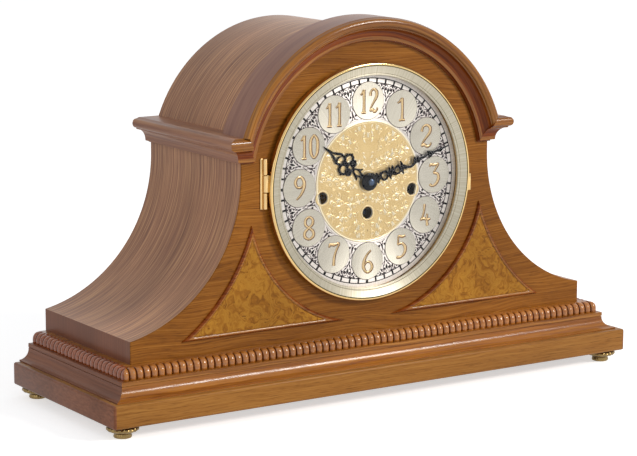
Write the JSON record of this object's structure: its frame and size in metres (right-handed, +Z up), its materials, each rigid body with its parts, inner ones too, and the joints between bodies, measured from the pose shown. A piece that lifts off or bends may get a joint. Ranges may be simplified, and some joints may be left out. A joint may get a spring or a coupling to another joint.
{
  "type": "tambour mantel clock",
  "caption": "Low wooden mantel clock with a round hood and flared sides, a domed hinged glass over a silver and gilt dial, a rope-moulded base on brass feet.",
  "frame": {"origin": "centre of the base at the level the feet rest on", "axes": "+X to the right seen from the dial side, the dial faces -Y, +Z up"},
  "size_m": [0.445, 0.155, 0.2755],
  "materials": {
    "oak_front": "glossy lacquered oak, golden brown",
    "oak_case": "satin lacquered oak veneer, reddish brown",
    "trim_wood": "glossy stained hardwood",
    "burl": "glossy burl veneer",
    "polished_brass": "polished",
    "dial_silver": "brushed silver with engraved scrolls",
    "disc_silver": "spun silver",
    "dial_gilt": "engraved gilt",
    "dial_glass": "clear, domed",
    "hand_black": "gloss black",
    "movement_brass": "satin",
    "steel": "bright",
    "iron": "dark paint"
  },
  "bodies": {
    "case": {"plinth": "oak_front", "feet": "polished_brass", "base_cove_front": "trim_wood", "base_cove_left": "trim_wood", "base_cove_right": "trim_wood", "rope_moulding_front": "trim_wood", "rope_moulding_left": "trim_wood", "rope_moulding_right": "trim_wood", "base_back_rail": "oak_case", "base_board": "oak_case", "front_panel": "oak_front", "burl_panel_left": "burl", "burl_panel_right": "burl", "burl_bead_left": "trim_wood", "burl_bead_right": "trim_wood", "side_left": "oak_case", "side_right": "oak_case", "hood": "oak_case", "arch_moulding": "oak_front", "capital_left": "oak_front", "capital_right": "oak_front", "dial_pan": "polished_brass", "dial_plate": "dial_silver", "dial_medallion": "dial_gilt", "hour_discs": "disc_silver", "winding_rims": "polished_brass", "bezel_hinge_bracket": "polished_brass", "movement_front_plate": "movement_brass", "movement_back_plate": "movement_brass", "movement_straps": "steel", "rod_block": "iron", "chime_rods": "steel", "balance_bracket": "movement_brass", "back_frame": "oak_case", "back_hinge_fixed_leaves": "polished_brass"},
    "bezel_door": {"bezel_ring": "polished_brass", "bezel_glass": "dial_glass"},
    "back_door": {"back_door": "oak_case", "back_hinge_door_leaves": "polished_brass", "door_knob": "polished_brass"},
    "minute_arbor": {"centre_arbor": "steel", "minute_hand": "hand_black", "hand_nut": "hand_black"},
    "hour_hand": {"hour_wheel": "movement_brass", "hour_hand": "hand_black"},
    "motion_wheel": {"motion_wheel": "movement_brass"},
    "third_wheel": {"third_wheel": "movement_brass"},
    "escape_wheel": {"escape_wheel": "movement_brass"},
    "balance_wheel": {"balance_wheel": "movement_brass"},
    "chime_drum": {"chime_drum": "movement_brass"},
    "time_barrel": {"time_barrel": "movement_brass"},
    "time_winding_arbor": {"time_winding_arbor": "steel"},
    "strike_barrel": {"strike_barrel": "movement_brass"},
    "strike_winding_arbor": {"strike_winding_arbor": "steel"},
    "chime_barrel": {"chime_barrel": "movement_brass"},
    "chime_winding_arbor": {"chime_winding_arbor": "steel"},
    "chime_hammer_1": {"chime_hammer_1": "steel"},
    "chime_hammer_2": {"chime_hammer_2": "steel"},
    "chime_hammer_3": {"chime_hammer_3": "steel"},
    "chime_hammer_4": {"chime_hammer_4": "steel"}
  },
  "joints": [
    {"name": "bezel_hinge", "type": "hinge", "parent": "case", "child": "bezel_door", "pos_m": [-0.0884, -0.0536, 0.16248], "axis": [0, 0, -1], "range_deg": [0, 110]},
    {"name": "back_door_hinge", "type": "hinge", "parent": "case", "child": "back_door", "pos_m": [-0.0756, 0.0749, 0.141], "axis": [0, 0, 1], "range_deg": [0, 115]},
    {"name": "minute_turn", "type": "hinge", "parent": "case", "child": "minute_arbor", "pos_m": [0, -0.02, 0.15648], "axis": [0, 1, 0], "continuous": true},
    {"name": "hour_turn", "type": "hinge", "parent": "case", "child": "hour_hand", "pos_m": [0, -0.02, 0.15648], "axis": [0, 1, 0], "continuous": true},
    {"name": "motion_turn", "type": "hinge", "parent": "case", "child": "motion_wheel", "pos_m": [0.01409, -0.02, 0.16161], "axis": [0, 1, 0], "continuous": true},
    {"name": "third_turn", "type": "hinge", "parent": "case", "child": "third_wheel", "pos_m": [-0.013, -0.02, 0.17048], "axis": [0, 1, 0], "continuous": true},
    {"name": "escape_turn", "type": "hinge", "parent": "case", "child": "escape_wheel", "pos_m": [-0.002, -0.02, 0.18598], "axis": [0, 1, 0], "continuous": true},
    {"name": "time_barrel_turn", "type": "hinge", "parent": "case", "child": "time_barrel", "pos_m": [0, -0.02, 0.13348], "axis": [0, 1, 0], "continuous": true},
    {"name": "strike_barrel_turn", "type": "hinge", "parent": "case", "child": "strike_barrel", "pos_m": [-0.039, -0.02, 0.14748], "axis": [0, 1, 0], "continuous": true},
    {"name": "chime_barrel_turn", "type": "hinge", "parent": "case", "child": "chime_barrel", "pos_m": [0.039, -0.02, 0.14748], "axis": [0, 1, 0], "continuous": true},
    {"name": "chime_drum_turn", "type": "hinge", "parent": "case", "child": "chime_drum", "pos_m": [0.056, -0.02, 0.16848], "axis": [0, 1, 0], "continuous": true},
    {"name": "time_winding", "type": "hinge", "parent": "case", "child": "time_winding_arbor", "pos_m": [0, -0.02, 0.13348], "axis": [0, 1, 0], "continuous": true},
    {"name": "strike_winding", "type": "hinge", "parent": "case", "child": "strike_winding_arbor", "pos_m": [-0.039, -0.02, 0.14748], "axis": [0, 1, 0], "continuous": true},
    {"name": "chime_winding", "type": "hinge", "parent": "case", "child": "chime_winding_arbor", "pos_m": [0.039, -0.02, 0.14748], "axis": [0, 1, 0], "continuous": true},
    {"name": "balance_swing", "type": "hinge", "parent": "case", "child": "balance_wheel", "pos_m": [0, 0.013, 0.18248], "axis": [0, 0, 1], "range_deg": [-135, 135], "stiffness_Nm_per_rad": 0.00006},
    {"name": "hammer_lift_1", "type": "hinge", "parent": "case", "child": "chime_hammer_1", "pos_m": [0.062, -0.02, 0.11848], "axis": [0, 1, 0], "range_deg": [-2, 14], "stiffness_Nm_per_rad": 0.2},
    {"name": "hammer_lift_2", "type": "hinge", "parent": "case", "child": "chime_hammer_2", "pos_m": [0.062, -0.02, 0.11848], "axis": [0, 1, 0], "range_deg": [-2, 14], "stiffness_Nm_per_rad": 0.2},
    {"name": "hammer_lift_3", "type": "hinge", "parent": "case", "child": "chime_hammer_3", "pos_m": [0.062, -0.02, 0.11848], "axis": [0, 1, 0], "range_deg": [-2, 14], "stiffness_Nm_per_rad": 0.2},
    {"name": "hammer_lift_4", "type": "hinge", "parent": "case", "child": "chime_hammer_4", "pos_m": [0.062, -0.02, 0.11848], "axis": [0, 1, 0], "range_deg": [-2, 14], "stiffness_Nm_per_rad": 0.2}
  ],
  "couplings": [
    {"joint": "hour_turn", "follows": "minute_turn", "ratio": 0.083333},
    {"joint": "motion_turn", "follows": "minute_turn", "ratio": -0.33333},
    {"joint": "third_turn", "follows": "minute_turn", "ratio": -6},
    {"joint": "escape_turn", "follows": "minute_turn", "ratio": 36},
    {"joint": "time_barrel_turn", "follows": "minute_turn", "ratio": -0.14286},
    {"joint": "chime_drum_turn", "follows": "chime_barrel_turn", "ratio": -2}
  ]
}
